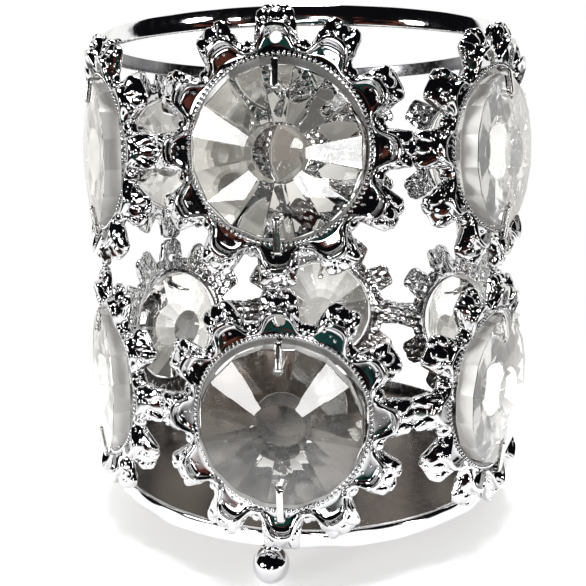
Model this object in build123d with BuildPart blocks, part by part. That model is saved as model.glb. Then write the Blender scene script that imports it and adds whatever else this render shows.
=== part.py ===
"""Crystal candle holder: an open cage of cast settings with cut-glass crystals between two hoops.

Millimetres, +Z up, the axis of the cage on Z and the feet standing on z = 0. The front column faces -Y.
"""

import os
from math import acos, atan2, cos, degrees, pi, sin, sqrt

from build123d import *

os.makedirs("parts", exist_ok=True)

# Cage: two hoops and the lattice of settings between them
columns = 6
rows = ("lower", "upper")
hoop_radius = 47.0
hoop_height = 3.4
hoop_thickness = 1.2
hoop_splits = 3
row_pitch = 49.0
plate_thickness = 1.0

# Ball feet under the bottom hoop
foot_count = 3
foot_diameter = 7.0
foot_neck_diameter = 3.0
foot_neck_height = 0.7
foot_pad_diameter = 1.8
foot_steps = 3
foot_sides = 12
foot_azimuth = -3.0

# Cast setting: toothed back plate, and a raised wall round the hollow of every petal
lobes = 12
rim_sides = 12
bore_sides = 24
flat_count = 3
bore_clearance = 0.7
rim_width = 1.4
back_thickness = 1.3
petal_height = 2.0
lobe_root_width = 6.8
tooth_length = 7.4
tooth_tip_width = 6.4
link_count = 4
petal_length = 4.2
petal_tip_width = 4.2
petal_wall = 0.9
eyelet_diameter = 2.2
eyelet_gap = 2.0
small_hole_sides = 8

# Crystal: sixteen-sided, flat table in front and behind
facets = 16
crystal_radius = 15.0
table_radius = 6.0
back_table_radius = 5.0
girdle_height = 3.6
crown_height = 1.3
pavilion_height = 4.0
crystal_drop = 0.5
crystal_proud = 1.2
hole_diameter = 1.8
hole_inset = 4.0

# Flat retaining wire
wire_width = 1.3
wire_thickness = 0.7
wire_tail = 0.8
wire_foot_gap = 0.5

# Sizes that follow from those above
foot_radius = foot_diameter / 2
ball_centre = sqrt(foot_diameter**2 - foot_pad_diameter**2) / 2
foot_height = ball_centre + sqrt(foot_diameter**2 - foot_neck_diameter**2) / 2 + foot_neck_height
body_height = row_pitch * len(rows)
column_angle = 360 / columns
plate_radius = hoop_radius - hoop_thickness
hoop_sides = columns * flat_count * hoop_splits
setting_centre = row_pitch / 2
bore_apothem = crystal_radius + bore_clearance
rim_apothem = bore_apothem + rim_width
lobe_root = (rim_apothem - lobe_root_width / 2 * sin(pi / lobes)) / cos(pi / lobes)
tooth_reach = rim_apothem + tooth_length
petal_reach = rim_apothem + petal_length
back_face = hoop_radius + back_thickness
front_face = back_face + petal_height
link_reach = tooth_reach + hoop_radius + row_pitch
girdle_front = back_face + crystal_proud
girdle_back = girdle_front - girdle_height
crystal_centre = setting_centre - crystal_drop
eyelet_offset = rim_apothem + eyelet_gap
hole_offset = crystal_radius - hole_inset
facet_share = cos(pi / facets)
crown_reach = (crystal_radius - table_radius) * facet_share
pavilion_reach = (crystal_radius - back_table_radius) * facet_share
crown_fall = crown_reach / crown_height
wire_foot = rim_apothem + wire_foot_gap + wire_thickness / 2


def facing_plane(distance, height):
    """Plane that faces the front, at this distance from the axis and this height above the row's foot."""
    return Plane(origin=(0, -distance, height), x_dir=(1, 0, 0), z_dir=(0, -1, 0))


def mirrored(points):
    """Closed outline from one side of a lobe, mirrored about the lobe's own centre line."""
    return points + [(reach, -half) for reach, half in reversed(points)]


def bent_wall(inner, outer):
    """One column's share of the cage's wall over one row, bent round the hoops in narrow flats."""
    sides = columns * flat_count
    with BuildPart() as block:
        with BuildSketch(Plane.XY):
            flat_sided(outer, sides)
            flat_sided(inner, sides, mode=Mode.SUBTRACT)
            Polygon((0, 0), *wedge_corners(outer), align=None, mode=Mode.INTERSECT)
        extrude(amount=row_pitch)
    return block.part


def turn_of_flat(sides):
    """Turn that puts the middle of one flat of a many-sided outline at its foot."""
    return -90 + 180 / sides


def wedge_corners(outer):
    """Two outer corners of the column's wedge, far enough out to hold the wall."""
    far = Vector(0, -2 * outer)
    return far.rotate(Axis.Z, -column_angle / 2), far.rotate(Axis.Z, column_angle / 2)


def bent_plate(outline, inner, outer):
    """An outline drawn on the facing plane, carried through one column's share of the cage's wall."""
    wall = bent_wall(inner, outer)
    with BuildPart() as piece:
        with BuildSketch(facing_plane(0, setting_centre)):
            add(outline)
        extrude(amount=2 * outer)
        add(wall, mode=Mode.INTERSECT)
    return piece.part


def flat_sided(apothem, sides, mode=Mode.ADD):
    """Many-sided outline with the middle of one flat at its foot."""
    RegularPolygon(apothem, sides, major_radius=False, rotation=turn_of_flat(sides), mode=mode)


# Toothed back of the setting, with the teeth that meet a neighbour carried on to the edge of its share
tooth_side = [(lobe_root, lobe_root_width / 2), (tooth_reach, tooth_tip_width / 2)]
link_side = [*tooth_side, (link_reach, tooth_tip_width / 2)]
with BuildSketch() as back_outline:
    flat_sided(rim_apothem, rim_sides)
    with PolarLocations(0, lobes):
        Polygon(*mirrored(tooth_side), align=None)
    with PolarLocations(0, link_count):
        Polygon(*mirrored(link_side), align=None)
    flat_sided(bore_apothem, bore_sides, mode=Mode.SUBTRACT)

# Wall of each petal, open towards the rim
petal_side = [(lobe_root, lobe_root_width / 2), (petal_reach, petal_tip_width / 2)]
hollow_side = [
    (bore_apothem, lobe_root_width / 2 - petal_wall),
    (petal_reach - petal_wall, petal_tip_width / 2 - petal_wall),
]
with BuildSketch() as wall_outline:
    with PolarLocations(0, lobes):
        Polygon(*mirrored(petal_side), align=None)
    with PolarLocations(0, lobes):
        Polygon(*mirrored(hollow_side), align=None, mode=Mode.SUBTRACT)

toothed_back = bent_plate(back_outline.sketch, hoop_radius, back_face)
petal_walls = bent_plate(wall_outline.sketch, hoop_radius, front_face)

with BuildPart() as setting:
    add((toothed_back, petal_walls))
    with BuildSketch(facing_plane(0, setting_centre + eyelet_offset)):
        RegularPolygon(eyelet_diameter / 2, small_hole_sides)
    extrude(amount=2 * front_face, mode=Mode.SUBTRACT)

# Crystal: a many-sided block, cut in flat facets to a table in front and one behind
with BuildPart() as crystal:
    with BuildSketch(facing_plane(girdle_back - pavilion_height, crystal_centre)):
        RegularPolygon(crystal_radius, facets, rotation=turn_of_flat(facets))
    extrude(amount=pavilion_height + girdle_height + crown_height)
    table = crystal.faces().sort_by(Axis.Y)[0]
    chamfer(table.edges(), length=crown_reach, length2=crown_height, reference=table)
    back_table = crystal.faces().sort_by(Axis.Y)[-1]
    chamfer(back_table.edges(), length=pavilion_reach, length2=pavilion_height, reference=back_table)
    with BuildSketch(facing_plane(0, crystal_centre)):
        with Locations((0, hole_offset), (0, -hole_offset)):
            RegularPolygon(hole_diameter / 2, small_hole_sides)
    extrude(amount=2 * girdle_front, mode=Mode.SUBTRACT)


def crown_at(offset):
    """Distance from the axis to the crown facet, at this offset from the crystal's centre."""
    return girdle_front + (crystal_radius * facet_share - offset) / crown_fall


def retaining_wire(side, end_offset, end_distance):
    """Flat wire from behind the crystal, through its hole, along the crown and back to the setting.

    side is 1 for the wire at the top of the crystal and -1 for the one at its foot.
    end_offset is the height of the last leg's middle from the setting's centre.
    """
    lift = wire_thickness / 2 * sqrt(1 + 1 / crown_fall**2)
    rim_reach = end_offset + crystal_drop
    corner = -crown_at(hole_offset) - lift
    bend = -crown_at(abs(rim_reach)) - lift
    middle = crystal_centre + side * hole_offset
    last = setting_centre + end_offset
    tail = -girdle_back + pavilion_height + wire_tail
    with BuildPart() as wire:
        with BuildLine(Plane.YZ) as path:
            Polyline((tail, middle), (corner, middle), (bend, last), (-end_distance, last))
        with BuildSketch(Plane(path.line @ 0, x_dir=(1, 0, 0), z_dir=path.line % 0)):
            Rectangle(wire_width, wire_thickness)
        sweep(transition=Transition.RIGHT)
    return wire.part


def placed(part, row, column):
    """A piece of the front column, moved to its row and turned to its column."""
    with BuildPart() as copy:
        with Locations(Location((0, 0, foot_height + row * row_pitch), (0, 0, column * column_angle))):
            add(part)
    return copy.part


def write(part, name):
    """Name a piece and write it."""
    part.label = name
    export_step(part, f"parts/{name}.step")


# Hoops and floor
with BuildPart() as hoop:
    with BuildSketch(Plane.XY):
        flat_sided(hoop_radius, hoop_sides)
        flat_sided(plate_radius, hoop_sides, mode=Mode.SUBTRACT)
    extrude(amount=hoop_height)

for name, height in (("bottom_hoop", foot_height), ("top_hoop", foot_height + body_height - hoop_height)):
    with BuildPart() as standing_hoop:
        with Locations((0, 0, height)):
            add(hoop.part)
    write(standing_hoop.part, name)

with BuildPart() as base_plate:
    with BuildSketch(Plane.XY.offset(foot_height)):
        flat_sided(plate_radius, hoop_sides)
    extrude(amount=plate_thickness)
write(base_plate.part, "base_plate")



def half_ball(end_radius):
    """Upper half of a foot's ball in flat-sided steps, from its widest ring up to a ring of this radius."""
    last = acos(end_radius / foot_radius)
    swings = [last * step / foot_steps for step in range(foot_steps + 1)]
    rings = [(foot_radius * sin(swing), foot_radius * cos(swing)) for swing in swings]
    with BuildPart() as half:
        for (height, radius), (next_height, next_radius) in zip(rings, rings[1:]):
            rise = next_height - height
            with BuildSketch(Plane.XY.offset(height)):
                flat_sided(radius, foot_sides)
            extrude(amount=rise, taper=degrees(atan2(radius - next_radius, rise)))
    return half.part


# Feet: a ball from a small pad to a short neck, fixed under the hoop and the edge of the floor
with BuildPart() as ball_foot:
    with Locations((0, 0, ball_centre)):
        add((half_ball(foot_neck_diameter / 2), half_ball(foot_pad_diameter / 2).mirror(Plane.XY)))
    with BuildSketch(Plane.XY.offset(foot_height - foot_neck_height)):
        flat_sided(foot_neck_diameter / 2, foot_sides)
    extrude(amount=foot_neck_height)

with BuildPart() as ball_feet:
    with PolarLocations(plate_radius, foot_count, start_angle=foot_azimuth - 90):
        add(ball_foot.part)
write(ball_feet.part, "ball_feet")

# Settings, crystals and wires of every row and column
top_wire = retaining_wire(1, bore_apothem - wire_thickness / 2, hoop_radius)
bottom_wire = retaining_wire(-1, -wire_foot, back_face)
with BuildPart() as wires:
    add((top_wire, bottom_wire))

for row, row_name in enumerate(rows):
    for column in range(columns):
        ending = f"{row_name}_{column + 1}"
        write(placed(setting.part, row, column), f"setting_{ending}")
        write(placed(crystal.part, row, column), f"crystal_{ending}")
        write(placed(wires.part, row, column), f"wires_{ending}")
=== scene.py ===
import math

import bmesh
import bpy
import numpy as np
from mathutils import Matrix, Vector


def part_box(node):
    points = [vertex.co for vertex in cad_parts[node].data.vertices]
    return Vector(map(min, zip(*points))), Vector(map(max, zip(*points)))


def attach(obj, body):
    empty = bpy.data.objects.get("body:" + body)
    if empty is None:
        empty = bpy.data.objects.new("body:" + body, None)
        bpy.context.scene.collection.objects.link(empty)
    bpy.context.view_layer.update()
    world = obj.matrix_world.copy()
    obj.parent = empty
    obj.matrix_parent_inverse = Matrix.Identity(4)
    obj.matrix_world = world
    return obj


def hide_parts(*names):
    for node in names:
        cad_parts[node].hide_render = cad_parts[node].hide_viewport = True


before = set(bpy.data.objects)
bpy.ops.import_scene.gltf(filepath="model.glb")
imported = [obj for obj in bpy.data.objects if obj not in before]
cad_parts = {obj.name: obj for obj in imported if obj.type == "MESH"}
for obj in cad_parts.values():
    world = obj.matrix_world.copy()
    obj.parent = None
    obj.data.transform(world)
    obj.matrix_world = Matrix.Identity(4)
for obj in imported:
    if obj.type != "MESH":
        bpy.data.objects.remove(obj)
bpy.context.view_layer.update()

MM = 0.001
ROWS = ("lower", "upper")
COLUMNS = range(1, 7)
COLUMN_ANGLE = math.radians(60)


def size_of(node):
    """Lowest and highest corner of a node, in millimetres."""
    low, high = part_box(node)
    return np.array(low) / MM, np.array(high) / MM


# Sizes read from the frame, in millimetres
HOOP_LOW, HOOP_HIGH = size_of("top_hoop")
PLATE_LOW, PLATE_HIGH = size_of("base_plate")
CRYSTAL_LOW, CRYSTAL_HIGH = size_of("crystal_upper_1")
ROW_FOOT = {row: size_of(f"setting_{row}_1")[0][2] for row in ROWS}
HOOP_RADIUS = -HOOP_LOW[1]
HOOP_HEIGHT = HOOP_HIGH[2] - HOOP_LOW[2]
PLATE_RADIUS = -PLATE_LOW[1]
CAGE_FOOT = PLATE_LOW[2]
ROW_PITCH = ROW_FOOT["upper"] - ROW_FOOT["lower"]
SETTING_CENTRE = ROW_PITCH / 2
CRYSTAL_FRONT = -CRYSTAL_LOW[1]
CRYSTAL_BACK = -CRYSTAL_HIGH[1]
CRYSTAL_CENTRE = (CRYSTAL_LOW[2] + CRYSTAL_HIGH[2]) / 2 - ROW_FOOT["upper"]
CRYSTAL_DROP = SETTING_CENTRE - CRYSTAL_CENTRE

# Cast setting: offsets from its centre, and heights above its back
LOBES = 12
SAMPLES_PER_LOBE = 56
CAST_BACK = HOOP_RADIUS + 0.02
BORE = 15.75
SEAT_GAP = 0.12
RIM_LIFT = 1.1
BEAD_RING = 16.35
BEAD_COUNT = 112
BEAD_SIZE = (0.38, 0.52, 0.42)
FRONT_VALLEY = 17.75
FRONT_TIP = 21.3
BACK_VALLEY = 18.9
BACK_TIP = 24.4
VALLEY_LIFT = 1.8
RIDGE_LIFT = 3.2
EYELET_RADIUS = 1.1
EYELET_OFFSET = 19.1
EYELET_CUT = (-1, 4)

# Sharpness of the lobes' flanks and lean towards broad lobes: petals, teeth and the petals' ridges
FRONT_WAVE = (1.5, 0.1)
BACK_WAVE = (2.6, 0.37)
RIDGE_WAVE = (1.5, 0.3)

# Scoop of a petal, and the skirt from the petal's edge down to the tooth's edge
DISH_START = 16.95
DISH_DROP = 0.1
DISH_SLOPE = 0.2
DISH_TURN_UP = 12
DISH_LEAN = {"lower": 0.12, "upper": 0.0}
DISH_STEPS = 18
DISH_LEAST = 0.05
RIDGE_INSET = 0.82
SKIRT_GAP = 0.1
SKIRT_INSET = 0.3
SKIRT_LEAST = 0.1
SKIRT_TOP_SHARE = 0.62
SKIRT_FOOT = 0.75
SKIRT_STEPS = 19

# Steps of the casting's section, each an offset and a height from the place in its name
SEAT_STEPS = ((0.0, 0.1), (0.0, 0.4), (0.06, 0.5))
BORE_STEPS = ((-0.06, 0.6), (0.0, 0.7))
RIM_STEPS = ((0.0, -0.2), (0.05, -0.1), (0.2, -0.03))
BEAD_STEPS = ((0.0, 0.0), (0.4, -0.05))
RIDGE_STEPS = ((-0.76, -0.03), (-0.7, 0.0), (-0.45, 0.01), (-0.2, 0.0),
               (-0.1, -0.02), (-0.03, -0.1), (0.01, -0.25), (0.03, -0.5))
EDGE_INSET = 0.2
TOP_EDGE_STEPS = ((-0.1, -0.15), (0.0, -0.4))
LOW_EDGE_STEPS = ((0.03, 0.45), (0.0, 0.15), (-EDGE_INSET, 0.0))

# Cast lumps on the teeth, in front and behind. A knob is across, out, radius and rise
STONE_SEED = 4
STONE_PITCH = 2.6
STONE_LINE_SHARE = 0.866
STONE_JITTER = 0.3
STONE_RADIUS = (1.0, 1.35)
STONE_RISE = (0.4, 0.6)
STONE_FLATNESS = 4
STONE_MARGIN = 0.5
TOOTH_KNOBS = ((2.5, 22.8, 1.0, 0.65), (3.2, 20.7, 0.9, 0.6))
VALLEY_KNOB_OUT = 18.45
VALLEY_KNOB_RADIUS = 0.85
VALLEY_KNOB_RISE = 0.8
EDGE_SWELL = 0.7
EDGE_MIDDLE = 0.35
BACK_HOLLOW = 0.25
BACK_LUMPS = 0.4
BACK_STEPS = 14
BACK_SPAN = (0.05, 0.95)
BACK_RIM = 0.3

# Small pips in the petals' scoops
PIP_SEED = 9
PIPS_PER_LOBE = 3
PIP_SWING = 0.09
PIP_SHARE = (0.15, 0.75)
PIP_SIZE = (0.2, 0.38)

# Crystal
FACETS = 16
CRYSTAL_RADIUS = 15.0
TABLE_RADIUS = 5.2
BACK_TABLE_RADIUS = 5.0
CROWN_HEIGHT = 1.416
PAVILION_HEIGHT = 4.0
FACET_BEVEL = 0.1
HOLE_RADIUS = 0.9
HOLE_OFFSET = 11.0
HOLE_MARGIN = 3
GIRDLE_TILT = 0.3

# Retaining wire
WIRE_WIDTH = 1.3
WIRE_THICKNESS = 0.7
WIRE_TAIL = 0.8
WIRE_BEND = 0.55
WIRE_BEND_STEPS = 6
WIRE_SIDES = 16
WIRE_ROUNDNESS = 0.5
WIRE_END_SHARE = 0.8
TOP_WIRE_OFFSET = 15.35
FOOT_WIRE_OFFSET = -17.95
FOOT_WIRE_END = 48.3

# Hoops
HOOP_THICKNESS = HOOP_RADIUS - PLATE_RADIUS
HOOP_TRIM = 0.98
HOOP_SIDES = 360
HOOP_CORNER = 0.3
HOOP_CORNER_STEPS = 5
HOOP_FACE_STEPS = 9
HOOP_WAVE = 0.045
HOOP_TWIST = 0.05
HOOP_CROWN = 0.28
WAVE_PACES = (3, 5, 8, 13, 21, 34)
TWIST_PACES = (4, 7, 11, 19)
CROWN_PACES = (9, 14, 23, 31)
WAVE_STRENGTH = (0.4, 1)
INWARD_TURN = -0.8
TOP_HOOP_SEED = 3
BOTTOM_HOOP_SEED = 8

# Floor of the cage: shares of its radius and insets from its edge, with their depth or height
PLATE_SIDES = 192
PLATE_MIDDLE = 0.5
PLATE_DEPTH = 0.2
PLATE_HOLLOW = ((0.4, 0.18), (0.8, 0.1))
PLATE_RIM = ((1.6, 0.06), (1.2, 0.02), (0.8, 0.0), (0.25, 0.05), (0.02, 0.3))
PLATE_EDGE = ((0.02, 0.2), (0.2, 0.0))
PLATE_UNDERSIDE = 0.5

# Feet
FOOT_COUNT = 3
FOOT_SIDES = 40
FOOT_STEPS = 30
FOOT_RADIUS = 3.5
FOOT_NECK = 1.5
FOOT_AZIMUTH = math.radians(-3)
FOOT_PAD = (0.1, 0.001)
FOOT_PAD_ANGLE = math.radians(6)
NECK_STEPS = ((-0.1, 0.15), (-0.05, 0.35))
FLARE_STEPS = ((0.15, -0.1), (0.3, 0.0))

# Fineness of small round shapes
BALL_RINGS = 7
BALL_SIDES = 10
POLE_GAP = 0.02
BAR_SIDES = 24


def new_mesh(name, points, faces, material, smooth=True):
    """A mesh from points in millimetres, with its faces turned outwards."""
    mesh = bpy.data.meshes.new(name)
    mesh.from_pydata((np.asarray(points) * MM).tolist(), [], faces)
    edit = bmesh.new()
    edit.from_mesh(mesh)
    bmesh.ops.recalc_face_normals(edit, faces=edit.faces)
    edit.to_mesh(mesh)
    edit.free()
    mesh.polygons.foreach_set("use_smooth", [smooth] * len(mesh.polygons))
    mesh.materials.append(material)
    return mesh


def add_object(name, data):
    """An object in the scene, with this mesh, lamp or lens."""
    thing = bpy.data.objects.new(name, data)
    bpy.context.scene.collection.objects.link(thing)
    return thing


def add_piece(name, mesh, node):
    """A piece of the object, in the place of a node."""
    piece = add_object(name, mesh)
    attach(piece, "root")
    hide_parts(node)


def placed(mesh, row, column):
    """A copy of a mesh of the front column, moved to its row and turned to its column."""
    own = mesh.copy()
    turn = Matrix.Rotation((column - 1) * COLUMN_ANGLE, 4, "Z")
    own.transform(turn @ Matrix.Translation((0, 0, ROW_FOOT[row] * MM)))
    return own


def full_turn(steps):
    """Angles of even steps round a full turn."""
    return np.arange(steps) * 2 * math.pi / steps


def sheet_faces(rings, sides, closed=False):
    """Quads between rings of points one after another, and back to the first ring if closed."""
    faces = []
    for ring in range(rings if closed else rings - 1):
        here, there = ring * sides, (ring + 1) % rings * sides
        for side in range(sides):
            after = (side + 1) % sides
            faces.append([here + side, here + after, there + after, there + side])
    return faces


def capped_faces(rings, sides):
    """Quads between rings of points one after another, with the first and the last ring filled."""
    last = (rings - 1) * sides
    return sheet_faces(rings, sides) + [list(range(sides)), list(range(last, last + sides))]


def joined(shapes):
    """Points and faces of several shapes as one."""
    points, faces = [], []
    used = 0
    for own_points, own_faces in shapes:
        faces += [[used + corner for corner in face] for face in own_faces]
        points.append(own_points)
        used += len(own_points)
    return np.concatenate(points), faces


def rings_round(profile, sides, centre=(0, 0)):
    """Points of rings about an upright line, one ring for each radius and height of a profile."""
    turn = full_turn(sides)
    rings = []
    for radius, height in profile:
        across = centre[0] + radius * np.cos(turn)
        along = centre[1] + radius * np.sin(turn)
        rings.append(np.stack([across, along, np.full(sides, height)], axis=-1))
    return np.concatenate(rings)


def turned(profile, sides, centre=(0, 0)):
    """Points and faces of a solid turned about an upright line, from its (radius, height) profile."""
    return rings_round(profile, sides, centre), capped_faces(len(profile), sides)


def unit_ball():
    """Points and faces of a small round ball, from pole to pole."""
    polar = np.linspace(POLE_GAP, math.pi - POLE_GAP, BALL_RINGS)
    return turned([(math.sin(p), math.cos(p)) for p in polar], BALL_SIDES)


def bar_through(radius, height, near, far, material):
    """A round bar along the front column's facing direction, at this height above the row's foot."""
    turn = full_turn(BAR_SIDES)
    across = radius * np.cos(turn)
    up = height + radius * np.sin(turn)
    rings = [np.stack([across, np.full(BAR_SIDES, -distance), up], axis=-1) for distance in (near, far)]
    return new_mesh("bar", np.concatenate(rings), capped_faces(2, BAR_SIDES), material, smooth=False)


def cut(mesh, tools):
    """A mesh with other meshes cut out of it."""
    body = add_object("body", mesh)
    scrap = [body]
    for tool in tools:
        bar = add_object("bar", tool)
        scrap.append(bar)
        step = body.modifiers.new("cut", "BOOLEAN")
        step.operation = "DIFFERENCE"
        step.solver = "EXACT"
        step.use_self = True
        step.object = bar
    bpy.context.view_layer.update()
    graph = bpy.context.evaluated_depsgraph_get()
    shaped = bpy.data.meshes.new_from_object(body.evaluated_get(graph))
    for thing in scrap:
        bpy.data.objects.remove(thing)
    return shaped


def lobe_wave(angle, sharpness, lean):
    """0 in the valleys and 1 on the lobes, as many times round as there are lobes."""
    top = math.tanh(sharpness * (lean + 1))
    bottom = math.tanh(sharpness * (lean - 1))
    return (np.tanh(sharpness * (np.cos(LOBES * angle) + lean)) - bottom) / (top - bottom)


def front_outline(angle):
    """Offset of the petals' edge, round the setting."""
    return FRONT_VALLEY + (FRONT_TIP - FRONT_VALLEY) * lobe_wave(angle, *FRONT_WAVE)


def back_outline(angle):
    """Offset of the teeth's edge behind the petals, round the setting."""
    return BACK_VALLEY + (BACK_TIP - BACK_VALLEY) * lobe_wave(angle, *BACK_WAVE)


def ridge_height(angle):
    """Height of the petals' ridge, lower in the valleys between them."""
    return VALLEY_LIFT + (RIDGE_LIFT - VALLEY_LIFT) * lobe_wave(angle, *RIDGE_WAVE)


def dish_height(angle, share, lean):
    """Height of a petal's scoop, from the beads at share 0 to just under the petal's ridge at share 1.

    lean is how much more the scoops at the foot of the setting look up than those at its top.
    """
    rise = ridge_height(angle) - RIM_LIFT
    slope = DISH_SLOPE - lean * np.cos(angle)
    return RIM_LIFT - DISH_DROP + rise * (slope * share + (1 - slope) * share**DISH_TURN_UP)


def cast_stones():
    """Middle, radius and rise of the round lumps on the teeth.

    Some are in a loose pattern over the whole setting, and the knobs are the same on every lobe.
    """
    draw = np.random.default_rng(STONE_SEED)
    stones = []
    reach = int(BACK_TIP / STONE_PITCH) + 2
    for line in range(-reach, reach + 1):
        for step in range(-reach, reach + 1):
            across = (step + 0.5 * (line % 2)) * STONE_PITCH + draw.uniform(-STONE_JITTER, STONE_JITTER)
            up = line * STONE_PITCH * STONE_LINE_SHARE + draw.uniform(-STONE_JITTER, STONE_JITTER)
            stones.append((across, up, draw.uniform(*STONE_RADIUS), draw.uniform(*STONE_RISE)))
    farthest = BACK_TIP + STONE_MARGIN
    stones = [stone for stone in stones if FRONT_VALLEY < math.hypot(stone[0], stone[1]) < farthest]
    valley = math.pi / LOBES
    knobs = [(side * across, *rest) for across, *rest in TOOTH_KNOBS for side in (1, -1)]
    knobs.append((VALLEY_KNOB_OUT * math.sin(valley), VALLEY_KNOB_OUT * math.cos(valley),
                  VALLEY_KNOB_RADIUS, VALLEY_KNOB_RISE))
    for lobe in range(LOBES):
        turn = 2 * math.pi * lobe / LOBES
        for across, up, radius, rise in knobs:
            stones.append((across * math.cos(turn) + up * math.sin(turn),
                           up * math.cos(turn) - across * math.sin(turn), radius, rise))
    return stones


def stone_height(across, up, stones):
    """Height of flat-topped round lumps at some points."""
    height = np.zeros_like(across)
    for middle, level, radius, rise in stones:
        share = ((across - middle) ** 2 + (up - level) ** 2) / radius**2
        height = np.maximum(height, rise * (1 - share**STONE_FLATNESS))
    return height


def setting_section(angle, lean):
    """Offset and height of the points across the casting, all round it, as one closed loop."""
    stones = cast_stones()

    def lumps(out):
        """Height of the cast lumps at this offset, all round the casting."""
        return stone_height(out * np.sin(angle), out * np.cos(angle), stones)

    front = front_outline(angle)
    outline = back_outline(angle)
    edge = outline + EDGE_SWELL * (lumps(outline) - EDGE_MIDDLE)
    seat = CRYSTAL_RADIUS + SEAT_GAP - CRYSTAL_DROP * np.cos(angle)
    ridge = ridge_height(angle)
    section = [(seat + out, lift) for out, lift in SEAT_STEPS]
    section += [(BORE + out, lift) for out, lift in BORE_STEPS]
    section += [(BORE + out, RIM_LIFT + lift) for out, lift in RIM_STEPS]
    section += [(BEAD_RING + out, RIM_LIFT + lift) for out, lift in BEAD_STEPS]
    dish_end = np.maximum(front - RIDGE_INSET, DISH_START + DISH_LEAST)
    for share in np.linspace(0, 1, DISH_STEPS) ** 0.5:
        section.append((DISH_START + (dish_end - DISH_START) * share, dish_height(angle, share, lean)))
    section += [(front + out, ridge + lift) for out, lift in RIDGE_STEPS]
    skirt_start = front + SKIRT_GAP
    skirt_end = np.maximum(edge - SKIRT_INSET, skirt_start + SKIRT_LEAST)
    for share in np.linspace(0, 1, SKIRT_STEPS):
        out = skirt_start + (skirt_end - skirt_start) * share
        slope = SKIRT_TOP_SHARE * ridge * (1 - share) + SKIRT_FOOT * share
        section.append((out, slope + lumps(out)))
    top = section[-1][1]
    section += [(edge + out, top + lift) for out, lift in TOP_EDGE_STEPS]
    section += [(edge + out, lift) for out, lift in LOW_EDGE_STEPS]
    back_rim = seat + BACK_RIM
    for share in np.linspace(*BACK_SPAN, BACK_STEPS):
        out = (edge - EDGE_INSET) * (1 - share) + back_rim * share
        hollow = BACK_HOLLOW * math.sin(math.pi * share) ** 0.5
        section.append((out, np.maximum(0, hollow - BACK_LUMPS * lumps(out))))
    section.append((back_rim, 0.0))
    return [(np.broadcast_to(out, angle.shape), np.broadcast_to(lift, angle.shape)) for out, lift in section]


def bend(across, up, far):
    """Points of the front column, bent round the cage and kept within the setting's own share of it."""
    turn = np.clip(np.arcsin(across / far), -COLUMN_ANGLE / 2, COLUMN_ANGLE / 2)
    height = SETTING_CENTRE + np.clip(up, -SETTING_CENTRE, SETTING_CENTRE)
    return np.stack([far * np.sin(turn), -far * np.cos(turn), height], axis=-1)


def ball_at(turn, ring, lift, size):
    """Points of a ball on the casting, at a turn round it and an offset from its centre."""
    ball, _ = unit_ball()
    out = ring + ball[:, 1] * size[1]
    across = out * math.sin(turn) + ball[:, 0] * size[0] * math.cos(turn)
    up = out * math.cos(turn) - ball[:, 0] * size[0] * math.sin(turn)
    return bend(across, up, CAST_BACK + lift + ball[:, 2] * size[2])


def rim_beads():
    """Points of each bead round the bore."""
    turns = [2 * math.pi * (number + 0.5) / BEAD_COUNT for number in range(BEAD_COUNT)]
    return [ball_at(turn, BEAD_RING, RIM_LIFT, BEAD_SIZE) for turn in turns]


def cast_pips(lean):
    """Points of each small pip in the petals' scoops, kept off the eyelet."""
    draw = np.random.default_rng(PIP_SEED)
    pips = []
    for lobe in range(LOBES):
        for _ in range(PIPS_PER_LOBE):
            turn = 2 * math.pi * lobe / LOBES + draw.uniform(-PIP_SWING, PIP_SWING)
            share = draw.uniform(*PIP_SHARE)
            size = draw.uniform(*PIP_SIZE)
            ring = DISH_START + (front_outline(turn) - RIDGE_INSET - DISH_START) * share
            if abs(ring - EYELET_OFFSET) > EYELET_RADIUS + size or lobe > 0:
                pips.append(ball_at(turn, ring, dish_height(turn, share, lean), (size, size, size)))
    return pips


def casting(lean, material):
    """One casting with its beads, its small cast pips and its eyelet, for the front column."""
    count = LOBES * SAMPLES_PER_LOBE
    angle = full_turn(count)
    section = setting_section(angle, lean)
    rings = [bend(out * np.sin(angle), out * np.cos(angle), CAST_BACK + lift) for out, lift in section]
    faces = sheet_faces(len(section), count, closed=True)
    body = new_mesh("casting", np.concatenate(rings), faces, material)
    near, far = (CAST_BACK + distance for distance in EYELET_CUT)
    body = cut(body, [bar_through(EYELET_RADIUS, SETTING_CENTRE + EYELET_OFFSET, near, far, material)])
    _, ball_faces = unit_ball()
    points, faces = joined([(ball, ball_faces) for ball in rim_beads() + cast_pips(lean)])
    balls = new_mesh("balls", points, faces, material)
    edit = bmesh.new()
    edit.from_mesh(body)
    edit.from_mesh(balls)
    edit.to_mesh(body)
    edit.free()
    return body


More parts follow.
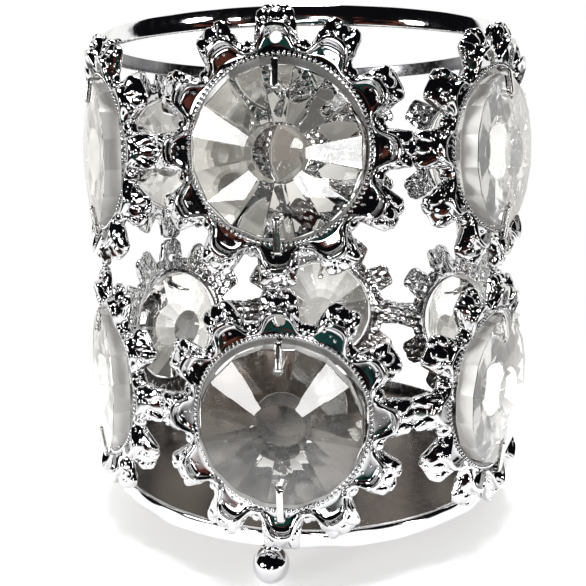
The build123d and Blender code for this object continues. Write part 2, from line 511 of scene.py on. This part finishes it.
def cut_crystal(material, edge_material):
    """One cut crystal with its two drilled holes and a ground edge, for the front column."""
    half = math.pi / FACETS
    turn = 2 * half * np.arange(FACETS) + half
    rings = []
    for far, radius in (
        (CRYSTAL_FRONT, TABLE_RADIUS),
        (CRYSTAL_FRONT - CROWN_HEIGHT, CRYSTAL_RADIUS),
        (CRYSTAL_BACK + PAVILION_HEIGHT, CRYSTAL_RADIUS),
        (CRYSTAL_BACK, BACK_TABLE_RADIUS),
    ):
        level = CRYSTAL_CENTRE + radius * np.cos(turn)
        rings.append(np.stack([radius * np.sin(turn), np.full(FACETS, -far), level], axis=-1))
    faces = capped_faces(len(rings), FACETS)
    block = new_mesh("crystal", np.concatenate(rings), faces, material, smooth=False)
    edit = bmesh.new()
    edit.from_mesh(block)
    bmesh.ops.bevel(edit, geom=list(edit.edges), offset=FACET_BEVEL * MM, segments=1, affect="EDGES")
    edit.to_mesh(block)
    edit.free()
    holes = []
    for side in (-1, 1):
        height = CRYSTAL_CENTRE + side * HOLE_OFFSET
        near, far = CRYSTAL_BACK - HOLE_MARGIN, CRYSTAL_FRONT + HOLE_MARGIN
        holes.append(bar_through(HOLE_RADIUS, height, near, far, material))
    crystal = cut(block, holes)
    crystal.materials.append(edge_material)
    past_holes = (HOLE_OFFSET + 2 * HOLE_RADIUS) * MM
    for face in crystal.polygons:
        reach = math.hypot(face.center.x, face.center.z - CRYSTAL_CENTRE * MM)
        if reach > past_holes and abs(face.normal.y) < GIRDLE_TILT:
            face.material_index = len(crystal.materials) - 1
    return crystal


def rounded(points, radius, steps):
    """A path through points in a plane, with an arc-like curve of several steps at every inner corner."""
    path = [np.array(points[0], float)]
    for before, corner, after in zip(points, points[1:], points[2:]):
        before, corner, after = np.array(before), np.array(corner), np.array(after)
        start = corner + (before - corner) * radius / np.linalg.norm(before - corner)
        end = corner + (after - corner) * radius / np.linalg.norm(after - corner)
        for share in np.linspace(0, 1, steps):
            path.append((1 - share) ** 2 * start + 2 * share * (1 - share) * corner + share**2 * end)
    path.append(np.array(points[-1], float))
    return np.array(path)


def ribbon(path):
    """Points and faces of a flat wire with rounded edges along a path of (distance from the axis, height)."""
    turn = full_turn(WIRE_SIDES)
    wide = WIRE_WIDTH / 2 * np.sign(np.cos(turn)) * np.abs(np.cos(turn)) ** WIRE_ROUNDNESS
    thick = WIRE_THICKNESS / 2 * np.sign(np.sin(turn)) * np.abs(np.sin(turn)) ** WIRE_ROUNDNESS
    along = np.gradient(path, axis=0)
    along /= np.linalg.norm(along, axis=1)[:, None]
    rings = []
    for number, (far, height), (step_far, step_height) in zip(range(len(path)), path, along):
        taper = WIRE_END_SHARE if number in (0, len(path) - 1) else 1.0
        distance = far - thick * taper * step_height
        level = height + thick * taper * step_far
        rings.append(np.stack([wide * taper, -distance, level], axis=-1))
    return np.concatenate(rings), capped_faces(len(path), WIRE_SIDES)


def retaining_wires(material):
    """The two flat wires of one crystal, bent from its holes over the crown to the casting."""
    girdle_front = CRYSTAL_FRONT - CROWN_HEIGHT
    facet_share = math.cos(math.pi / FACETS)
    slope = CROWN_HEIGHT / ((CRYSTAL_RADIUS - TABLE_RADIUS) * facet_share)
    lift = WIRE_THICKNESS / 2 * math.sqrt(1 + slope**2)
    wires = []
    for side, end_offset, end in ((1, TOP_WIRE_OFFSET, HOOP_RADIUS), (-1, FOOT_WIRE_OFFSET, FOOT_WIRE_END)):
        hole = CRYSTAL_CENTRE + side * HOLE_OFFSET
        last = SETTING_CENTRE + end_offset
        corner = girdle_front + (CRYSTAL_RADIUS * facet_share - HOLE_OFFSET) * slope + lift
        crest = girdle_front + (CRYSTAL_RADIUS * facet_share - abs(last - CRYSTAL_CENTRE)) * slope + lift
        route = [(CRYSTAL_BACK - WIRE_TAIL, hole), (corner, hole), (crest, last), (end, last)]
        wires.append(ribbon(rounded(route, WIRE_BEND, WIRE_BEND_STEPS)))
    return new_mesh("wires", *joined(wires), material)


def slow_wave(turn, seed, paces):
    """Uneven swell round a hoop, between about -1 and 1."""
    draw = np.random.default_rng(seed)
    total = 0
    for pace in paces:
        total = total + draw.uniform(*WAVE_STRENGTH) * np.cos(pace * turn + draw.uniform(0, 2 * math.pi))
    return total / len(paces)


def strip_profile():
    """Depth and height round the strip's section, with rounded corners and steps down its outer face."""
    deep = HOOP_THICKNESS - HOOP_CORNER
    high = HOOP_HEIGHT - HOOP_CORNER
    corners = ((deep, high, 1), (HOOP_CORNER, high, 0), (HOOP_CORNER, HOOP_CORNER, 3), (deep, HOOP_CORNER, 2))
    profile = []
    for depth, height, quarter in corners:
        for share in np.linspace(1, 0, HOOP_CORNER_STEPS):
            swing = math.pi / 2 * (quarter + share)
            profile.append((depth - HOOP_CORNER * math.cos(swing), height + HOOP_CORNER * math.sin(swing)))
        if quarter == 0:
            profile += [(0.0, level) for level in np.linspace(high, HOOP_CORNER, HOOP_FACE_STEPS)[1:-1]]
    return profile


def strip_hoop(foot, seed, material, inside_shade_material):
    """A flat strip bent to a hoop by hand, a little uneven and crowned, with its inward faces in darker,
    rougher chrome: painted shade for the inside of the cage.
    """
    turn = full_turn(HOOP_SIDES)
    inward = HOOP_WAVE * (1 - slow_wave(turn, seed, WAVE_PACES))
    twist = HOOP_TWIST * slow_wave(turn, seed + 1, TWIST_PACES)
    crown = HOOP_CROWN * (1 + slow_wave(turn, seed + 2, CROWN_PACES))
    rings = []
    for depth, height in strip_profile():
        hollow = crown * (2 * height / HOOP_HEIGHT - 1) ** 2 * (1 - depth / HOOP_THICKNESS)
        lean = twist * (height / HOOP_HEIGHT - 1)
        rings.append((HOOP_RADIUS - depth * HOOP_TRIM - inward + lean - hollow, foot + height))
    faces = sheet_faces(len(rings), HOOP_SIDES, closed=True)
    hoop = new_mesh("hoop", rings_round(rings, HOOP_SIDES), faces, material)
    hoop.materials.append(inside_shade_material)
    # Faces that look in towards the axis take the darker chrome, which is painted shade
    for face in hoop.polygons:
        if face.center.xy.normalized().dot(face.normal.xy) < INWARD_TURN:
            face.material_index = 1
    return hoop


def floor_plate(material):
    """The round floor of the cage, a little hollow, with a turned edge."""
    foot, top = PLATE_LOW[2], PLATE_HIGH[2]
    profile = [(PLATE_MIDDLE, top - PLATE_DEPTH)]
    profile += [(PLATE_RADIUS * share, top - depth) for share, depth in PLATE_HOLLOW]
    profile += [(PLATE_RADIUS - inset, top - depth) for inset, depth in PLATE_RIM]
    profile += [(PLATE_RADIUS - inset, foot + height) for inset, height in PLATE_EDGE]
    profile += [(PLATE_RADIUS * PLATE_UNDERSIDE, foot), (PLATE_MIDDLE, foot)]
    return new_mesh("floor_plate", *turned(profile, PLATE_SIDES), material)


def ball_feet(material):
    """Three turned ball feet with a short flared neck."""
    neck_angle = math.asin(FOOT_NECK / FOOT_RADIUS)
    profile = [FOOT_PAD]
    for swing in np.linspace(FOOT_PAD_ANGLE, math.pi - neck_angle, FOOT_STEPS):
        profile.append((FOOT_RADIUS * math.sin(swing), FOOT_RADIUS - FOOT_RADIUS * math.cos(swing)))
    ball_top = profile[-1][1]
    profile += [(FOOT_NECK + out, ball_top + height) for out, height in NECK_STEPS]
    profile += [(FOOT_NECK + out, CAGE_FOOT + height) for out, height in FLARE_STEPS]
    feet = []
    for number in range(FOOT_COUNT):
        turn = FOOT_AZIMUTH - math.pi / 2 + 2 * math.pi * number / FOOT_COUNT
        centre = (PLATE_RADIUS * math.cos(turn), PLATE_RADIUS * math.sin(turn))
        feet.append(turned(profile, FOOT_SIDES, centre))
    return new_mesh("ball_feet", *joined(feet), material)


# Materials: scales of their noise per metre, and the part of the noise that is used
TINT_SCALE = 180
POLISH_SCALE = 700
GLASS_TINT_SCALE = 60
NOISE_LOW = 0.3
NOISE_HIGH = 0.7
GLASS_IOR = 1.56
POLISH_IOR = 1.5


def nodes_of(material):
    """A material's node tree and its Principled shader."""
    material.use_nodes = True
    return material.node_tree, material.node_tree.nodes["Principled BSDF"]


def noise_node(tree, scale, detail=2.0):
    """Noise in object space, with a scale per metre."""
    spot = tree.nodes.new("ShaderNodeTexCoord")
    noise = tree.nodes.new("ShaderNodeTexNoise")
    noise.inputs["Scale"].default_value = scale
    noise.inputs["Detail"].default_value = detail
    tree.links.new(spot.outputs["Object"], noise.inputs["Vector"])
    return noise.outputs["Fac"]


def ramp_node(tree, source, stops):
    """A colour ramp over a source between 0 and 1."""
    ramp = tree.nodes.new("ShaderNodeValToRGB")
    elements = ramp.color_ramp.elements
    while len(elements) < len(stops):
        elements.new(0.5)
    for element, (position, colour) in zip(elements, stops):
        element.position = position
        element.color = (*colour, 1)
    tree.links.new(source, ramp.inputs["Fac"])
    return ramp.outputs["Color"]


def span_node(tree, source, low, high, to_low=0.0, to_high=1.0):
    """A smooth step of a source between two values."""
    span = tree.nodes.new("ShaderNodeMapRange")
    span.interpolation_type = "SMOOTHSTEP"
    span.inputs["From Min"].default_value = low
    span.inputs["From Max"].default_value = high
    span.inputs["To Min"].default_value = to_low
    span.inputs["To Max"].default_value = to_high
    tree.links.new(source, span.inputs["Value"])
    return span.outputs["Result"]


def metal(name, dark, light, rough, bump_scale, bump_height):
    """Plated metal: uneven tint, uneven polish and a fine swell of the surface."""
    material = bpy.data.materials.new(name)
    tree, shader = nodes_of(material)
    tint = ramp_node(tree, noise_node(tree, TINT_SCALE), [(NOISE_LOW, dark), (NOISE_HIGH, light)])
    polish = span_node(tree, noise_node(tree, POLISH_SCALE, 3), NOISE_LOW, NOISE_HIGH, *rough)
    bump = tree.nodes.new("ShaderNodeBump")
    bump.inputs["Strength"].default_value = 1
    bump.inputs["Distance"].default_value = bump_height * MM
    tree.links.new(noise_node(tree, bump_scale, 1), bump.inputs["Height"])
    tree.links.new(tint, shader.inputs["Base Color"])
    tree.links.new(polish, shader.inputs["Roughness"])
    tree.links.new(bump.outputs["Normal"], shader.inputs["Normal"])
    shader.inputs["Metallic"].default_value = 1
    return material


def cut_glass(name, dark, light, clear, rough):
    """Polished glass with a faint uneven tint, as clear and as smooth as asked."""
    material = bpy.data.materials.new(name)
    tree, shader = nodes_of(material)
    tint = ramp_node(tree, noise_node(tree, GLASS_TINT_SCALE), [(NOISE_LOW, dark), (NOISE_HIGH, light)])
    tree.links.new(tint, shader.inputs["Base Color"])
    shader.inputs["Transmission Weight"].default_value = clear
    shader.inputs["Roughness"].default_value = rough
    shader.inputs["IOR"].default_value = GLASS_IOR
    shader.inputs["Coat Weight"].default_value = 1.0
    shader.inputs["Coat IOR"].default_value = POLISH_IOR
    shader.inputs["Coat Roughness"].default_value = rough
    return material


chrome = metal("chrome", (0.6, 0.6, 0.61), (0.76, 0.76, 0.77), (0.02, 0.05), 600, 0.006)
hoop_chrome = metal("hoop_chrome", (0.78, 0.78, 0.79), (0.88, 0.88, 0.89), (0.03, 0.10), 500, 0.02)
# Darker, rougher chrome for the hoops' inward faces: painted shade standing in for plating in the shade of
# the cage
painted_shade_chrome = metal("painted_shade_chrome", (0.16, 0.16, 0.17), (0.26, 0.26, 0.27), (0.18, 0.3), 500, 0.02)
wire_metal = metal("wire_metal", (0.62, 0.61, 0.6), (0.8, 0.79, 0.78), (0.1, 0.2), 1500, 0.02)
plate_metal = metal("plate_metal", (0.11, 0.09, 0.079), (0.135, 0.112, 0.099), (0.18, 0.26), 60, 0.01)
glass = cut_glass("cut_glass", (0.94, 0.935, 0.91), (0.99, 0.985, 0.97), 1.0, 0.0)
ground_glass = cut_glass("ground_glass", (0.95, 0.94, 0.9), (1.0, 0.99, 0.96), 0.5, 0.25)

# Pieces of the object
crystal_block = cut_crystal(glass, ground_glass)
wire_pair = retaining_wires(wire_metal)
for row in ROWS:
    cast_mesh = casting(DISH_LEAN[row], chrome)
    for column in COLUMNS:
        ending = f"{row}_{column}"
        add_piece(f"casting_{ending}", placed(cast_mesh, row, column), f"setting_{ending}")
        add_piece(f"cut_crystal_{ending}", placed(crystal_block, row, column), f"crystal_{ending}")
        add_piece(f"bent_wires_{ending}", placed(wire_pair, row, column), f"wires_{ending}")
top_hoop = strip_hoop(HOOP_LOW[2], TOP_HOOP_SEED, hoop_chrome, painted_shade_chrome)
bottom_hoop = strip_hoop(CAGE_FOOT, BOTTOM_HOOP_SEED, hoop_chrome, painted_shade_chrome)
add_piece("strip_hoop_top", top_hoop, "top_hoop")
add_piece("strip_hoop_bottom", bottom_hoop, "bottom_hoop")
add_piece("floor_plate", floor_plate(plate_metal), "base_plate")
add_piece("turned_feet", ball_feet(chrome), "ball_feet")

# Floor: a pale sheet that fades out, as a disc, into the white behind it. The fade is in metres from the axis
FLOOR_HALF_SIDE = 600
FLOOR_FADE = (0.075, 0.15)
FLOOR_COLOUR = (0.75, 0.75, 0.75, 1)
FLOOR_ROUGHNESS = 0.9
FLOOR_GLOW = 0.62
floor_paint = bpy.data.materials.new("floor_paint")
tree, shader = nodes_of(floor_paint)
spot = tree.nodes.new("ShaderNodeTexCoord")
away = tree.nodes.new("ShaderNodeVectorMath")
away.operation = "LENGTH"
tree.links.new(spot.outputs["Object"], away.inputs[0])
tree.links.new(span_node(tree, away.outputs["Value"], *FLOOR_FADE, 1.0, 0.0), shader.inputs["Alpha"])
shader.inputs["Base Color"].default_value = FLOOR_COLOUR
shader.inputs["Roughness"].default_value = FLOOR_ROUGHNESS
shader.inputs["Emission Color"].default_value = (1, 1, 1, 1)
shader.inputs["Emission Strength"].default_value = FLOOR_GLOW
corners = [(FLOOR_HALF_SIDE * x, FLOOR_HALF_SIDE * y, 0) for x, y in ((-1, -1), (1, -1), (1, 1), (-1, 1))]
add_object("floor", new_mesh("floor", corners, [range(4)], floor_paint))

# Room: dark on the camera's side, with two bright panes and patches of colour, and bright towards the back
bpy.context.scene.view_settings.view_transform = "Standard"
world = bpy.data.worlds.new("room")
bpy.context.scene.world = world
world.use_nodes = True
room_tree = world.node_tree
where = room_tree.nodes.new("ShaderNodeTexCoord")
WALL_SCALE = 2.2
EDGE_SCALE = 3.0
NEAR_SCALE = 6.0
CLOTH_SCALE = 8.0


def room_noise(scale):
    """Noise over the directions of the room."""
    noise = room_tree.nodes.new("ShaderNodeTexNoise")
    noise.inputs["Scale"].default_value = scale
    noise.inputs["Detail"].default_value = 1.0
    room_tree.links.new(where.outputs["Generated"], noise.inputs["Vector"])
    return noise.outputs["Fac"]


def facing(axis, low, high, ragged):
    """0 away from an axis and 1 towards it, with an uneven edge between the two cosines."""
    dot = room_tree.nodes.new("ShaderNodeVectorMath")
    dot.operation = "DOT_PRODUCT"
    dot.inputs[1].default_value = Vector(axis).normalized()
    room_tree.links.new(where.outputs["Generated"], dot.inputs[0])
    uneven = room_tree.nodes.new("ShaderNodeMath")
    uneven.operation = "MULTIPLY_ADD"
    uneven.inputs[1].default_value = ragged
    room_tree.links.new(room_noise(EDGE_SCALE), uneven.inputs[0])
    room_tree.links.new(dot.outputs["Value"], uneven.inputs[2])
    return span_node(room_tree, uneven.outputs["Value"], low + ragged / 2, high + ragged / 2)


def mixed(share, first, second):
    """A mix of two colours, each a socket or a plain colour."""
    mix = room_tree.nodes.new("ShaderNodeMix")
    mix.data_type = "RGBA"
    room_tree.links.new(share, mix.inputs["Factor"])
    for socket, colour in (("A", first), ("B", second)):
        target = [entry for entry in mix.inputs if entry.name == socket and entry.type == "RGBA"][0]
        if isinstance(colour, tuple):
            target.default_value = (*colour, 1)
        else:
            room_tree.links.new(colour, target)
    return [entry for entry in mix.outputs if entry.type == "RGBA"][0]


# Colours of the room, and the directions that they lie in
BLACK = (0.004, 0.004, 0.005)
TEAL = (0.012, 0.055, 0.048)
BROWN = (0.13, 0.04, 0.025)
DARK_WALL = (0.16, 0.155, 0.145)
MID_WALL = (0.47, 0.455, 0.43)
LIGHT_WALL = (0.75, 0.74, 0.71)
TENT = (1.1, 1.1, 1.08)
CREAM = (1.0, 0.99, 0.95)
PANE = (20.0, 20.0, 19.6)
WHITE = (1.0, 1.0, 1.0)
FRONT = (0.1, -0.98, 0.15)
SITTER = (0.1, -0.93, -0.35)
LEFT_SIDE = (-0.5, -0.82, -0.27)
RIGHT_SIDE = (0.64, -0.72, -0.27)
LEFT_PANE = (-0.76, -0.62, 0.2)
RIGHT_PANE = (0.85, -0.5, -0.14)
BELOW = (0, 0, -1)
WALL_STOPS = [(0.36, DARK_WALL), (0.48, MID_WALL), (0.62, LIGHT_WALL)]
NEAR_STOPS = [(0.52, BLACK), (0.6, BROWN)]
CLOTH_STOPS = [(0.36, BLACK), (0.42, TEAL), (0.56, TEAL), (0.6, BLACK), (0.68, BROWN)]

room = ramp_node(room_tree, room_noise(WALL_SCALE), WALL_STOPS)
near = ramp_node(room_tree, room_noise(NEAR_SCALE), NEAR_STOPS)
cloth = ramp_node(room_tree, room_noise(CLOTH_SCALE), CLOTH_STOPS)

# Each layer lies over those before it: axis, the two cosines of its edge, unevenness of the edge, and colour
for axis, low, high, ragged, colour in (
    (FRONT, -0.95, -0.88, 0.06, CREAM),
    (FRONT, -0.62, -0.52, 0.1, TENT),
    (FRONT, -0.25, -0.13, 0.25, BLACK),
    (LEFT_PANE, 0.988, 0.992, 0.004, PANE),
    (RIGHT_PANE, 0.988, 0.992, 0.004, PANE),
    (LEFT_SIDE, 0.93, 0.95, 0.06, near),
    (RIGHT_SIDE, 0.93, 0.95, 0.06, near),
    (SITTER, 0.88, 0.9, 0.06, near),
    (SITTER, 0.915, 0.925, 0.08, cloth),
    (BELOW, 0.74, 0.82, 0.1, TENT),
):
    room = mixed(facing(axis, low, high, ragged), room, colour)
seen = room_tree.nodes.new("ShaderNodeLightPath")
backdrop = mixed(seen.outputs["Is Camera Ray"], room, WHITE)
room_tree.links.new(backdrop, room_tree.nodes["Background"].inputs["Color"])

# Lamps, in metres and watts: a soft box over the object, and four small panels that light single facets
LAMP_TARGET = Vector((0, 0, 0.055))
LOW_PANEL = (0.075, 0.06)
HIGH_PANEL = (0.06, 0.05)


def area(name, place_at, size, power):
    """A soft rectangular lamp that points at the middle of the object."""
    light = bpy.data.lights.new(name, "AREA")
    light.shape = "RECTANGLE"
    light.size, light.size_y = size
    light.energy = power
    lamp = add_object(name, light)
    lamp.location = place_at
    lamp.rotation_euler = (LAMP_TARGET - Vector(place_at)).to_track_quat("-Z", "Y").to_euler()


area("top_softbox", (0, -0.05, 0.9), (0.25, 0.25), 8)
area("left_low_panel", (-0.197, -0.5, -0.029), LOW_PANEL, 0.12)
area("left_high_panel", (-0.254, -0.5, 0.155), HIGH_PANEL, 0.08)
area("right_low_panel", (0.064, -0.5, -0.022), LOW_PANEL, 0.12)
area("right_high_panel", (0.119, -0.5, 0.08), HIGH_PANEL, 0.08)

# Camera at the photograph's place, from a fit of the hoops, the crystals and the foot
CAMERA_TURN = math.radians(5.815)
CAMERA_AWAY = 168.17
CAMERA_UP = 73.06
HEADING = math.radians(6.571)
PITCH = 0.1114
ROLL = -0.0094
FOCAL_PIXELS = 694.89
CENTRE_OFFSET = (3.709, -62.686)
IMAGE_SIDE = 586
SENSOR = 36.0
NEAREST = 0.01

ahead = math.cos(PITCH)
forward = Vector((-math.sin(HEADING) * ahead, math.cos(HEADING) * ahead, -math.sin(PITCH)))
level = Vector((math.cos(HEADING), math.sin(HEADING), 0))
upright = level.cross(forward)
right = math.cos(ROLL) * level + math.sin(ROLL) * upright
up = -math.sin(ROLL) * level + math.cos(ROLL) * upright
lens = bpy.data.cameras.new("camera")
lens.sensor_width = SENSOR
lens.lens = SENSOR * FOCAL_PIXELS / IMAGE_SIDE
lens.shift_x = -CENTRE_OFFSET[0] / IMAGE_SIDE
lens.shift_y = CENTRE_OFFSET[1] / IMAGE_SIDE
lens.clip_start = NEAREST
camera = add_object("camera", lens)
eye = (math.sin(CAMERA_TURN) * CAMERA_AWAY, -math.cos(CAMERA_TURN) * CAMERA_AWAY, CAMERA_UP + CAGE_FOOT)
aim = Matrix((right, up, -forward)).transposed().to_4x4()
camera.matrix_world = Matrix.Translation(Vector(eye) * MM) @ aim
bpy.context.scene.camera = camera
